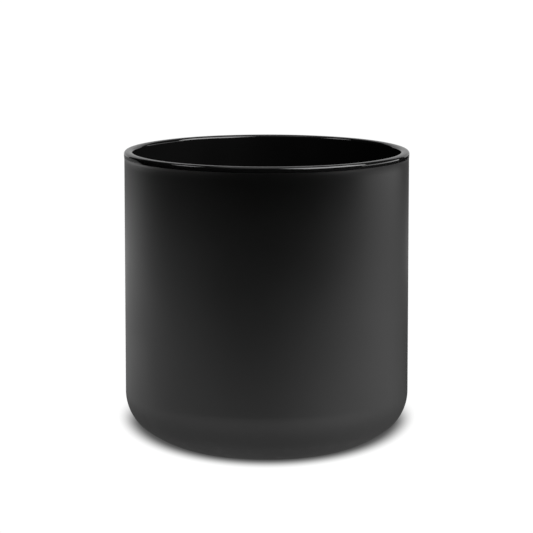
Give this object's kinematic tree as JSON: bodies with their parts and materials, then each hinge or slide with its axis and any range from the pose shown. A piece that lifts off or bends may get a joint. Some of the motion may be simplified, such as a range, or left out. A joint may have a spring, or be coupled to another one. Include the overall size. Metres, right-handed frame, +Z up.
{
  "type": "candle jar",
  "caption": "Empty straight-sided candle jar: black glass tumbler with a matte outer coat, gloss rim and inside, rounded heel, no lid.",
  "frame": {"origin": "centre of the standing ring, on the surface the jar stands on", "axes": "+Z up along the axis of revolution, out of the mouth; X and Y are free, because the jar is a body of revolution"},
  "size_m": [0.0882, 0.0882, 0.0932],
  "materials": {
    "black_glass": "opaque black soda-lime glass, fire-polished gloss",
    "matte_black_coat": "sprayed and baked matte black lacquer"
  },
  "bodies": {
    "root": {"glass_vessel": "black_glass", "matte_coat": "matte_black_coat"}
  },
  "joints": []
}
